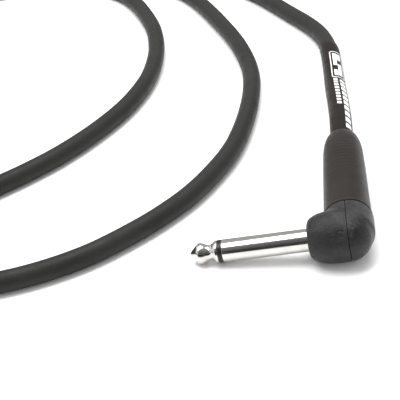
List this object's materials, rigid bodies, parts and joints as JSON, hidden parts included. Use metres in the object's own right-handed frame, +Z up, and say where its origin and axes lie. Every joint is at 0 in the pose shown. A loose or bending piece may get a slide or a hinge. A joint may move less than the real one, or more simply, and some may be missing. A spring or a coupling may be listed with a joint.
{
  "type": "instrument cable",
  "caption": "Black instrument cable lying in loose turns, with a right-angle plug whose long boot unscrews, a printed heat-shrink sleeve, a strapped coil and a straight plug.",
  "frame": {"origin": "on the surface the cable lies on, under the middle of the right-angle plug's own box, so without the cable and what is on it", "axes": "+Z up from that surface, +Y along the right-angle plug's boot towards the cable, -X along its shaft, which dips to the surface at its tip"},
  "size_m": [0.2083, 0.2291, 0.028],
  "materials": {
    "nickel": "polished nickel plate",
    "insulator": "satin moulded plastic",
    "tinned": "dull tin plate",
    "solder": "dull solder",
    "copper": "bare stranded copper",
    "housing": "fine-grained moulded plastic",
    "chuck": "moulded nylon",
    "boot": "soft-touch, smooth",
    "core": "translucent insulation",
    "jacket": "matte extruded jacket",
    "heat_shrink": "satin heat-shrink with pale printing",
    "strap": "woven hook-and-loop"
  },
  "bodies": {
    "cable_and_plugs": {"plug_tip_contact": "nickel", "plug_tip_insulator": "insulator", "plug_sleeve_contact": "nickel", "plug_rear_insulator": "insulator", "plug_tip_lug": "tinned", "plug_ground_lug": "tinned", "plug_front_housing": "housing", "plug_back_cover": "housing", "plug_tip_solder": "solder", "plug_ground_solder": "solder", "plug_core": "core", "plug_wire_end": "copper", "plug_shield_pigtail": "copper", "plug_jacket_end": "jacket", "label_sleeve": "heat_shrink", "cable_outer_loop": "jacket", "cable_middle_loop": "jacket", "cable_inner_loop": "jacket", "cable_coil": "jacket", "cable_tail": "jacket", "coil_strap": "strap", "far_tip_contact": "nickel", "far_tip_insulator": "insulator", "far_sleeve_contact": "nickel", "far_rear_insulator": "insulator", "far_tip_lug": "tinned", "far_ground_lug": "tinned", "far_barrel": "housing", "far_tip_solder": "solder", "far_core": "core", "far_jacket_end": "jacket"},
    "near_chuck": {"plug_chuck": "chuck"},
    "near_boot": {"plug_boot": "boot"},
    "far_chuck": {"far_chuck": "chuck"},
    "far_boot": {"far_boot": "boot"}
  },
  "joints": [
    {"name": "near_chuck_slide", "type": "slide", "parent": "cable_and_plugs", "child": "near_chuck", "axis": [0, 1, 0], "range_m": [0, 0.006]},
    {"name": "near_boot_turn", "type": "hinge", "parent": "near_chuck", "child": "near_boot", "pos_m": [0.01813, 0.00875, 0.00768], "axis": [0, 1, 0], "range_deg": [0, 2165]},
    {"name": "far_chuck_slide", "type": "slide", "parent": "cable_and_plugs", "child": "far_chuck", "axis": [0.2739, -0.9551, 0.1131], "range_m": [0, 0.006]},
    {"name": "far_boot_turn", "type": "hinge", "parent": "far_chuck", "child": "far_boot", "pos_m": [-0.12319, 0.11004, 0.00984], "axis": [0.2739, -0.9551, 0.1131], "range_deg": [0, 2165]}
  ],
  "couplings": [
    {"joint": "near_boot_turn", "follows": "near_chuck_slide", "rad_per_m": 6283.2},
    {"joint": "far_boot_turn", "follows": "far_chuck_slide", "rad_per_m": 6283.2}
  ]
}
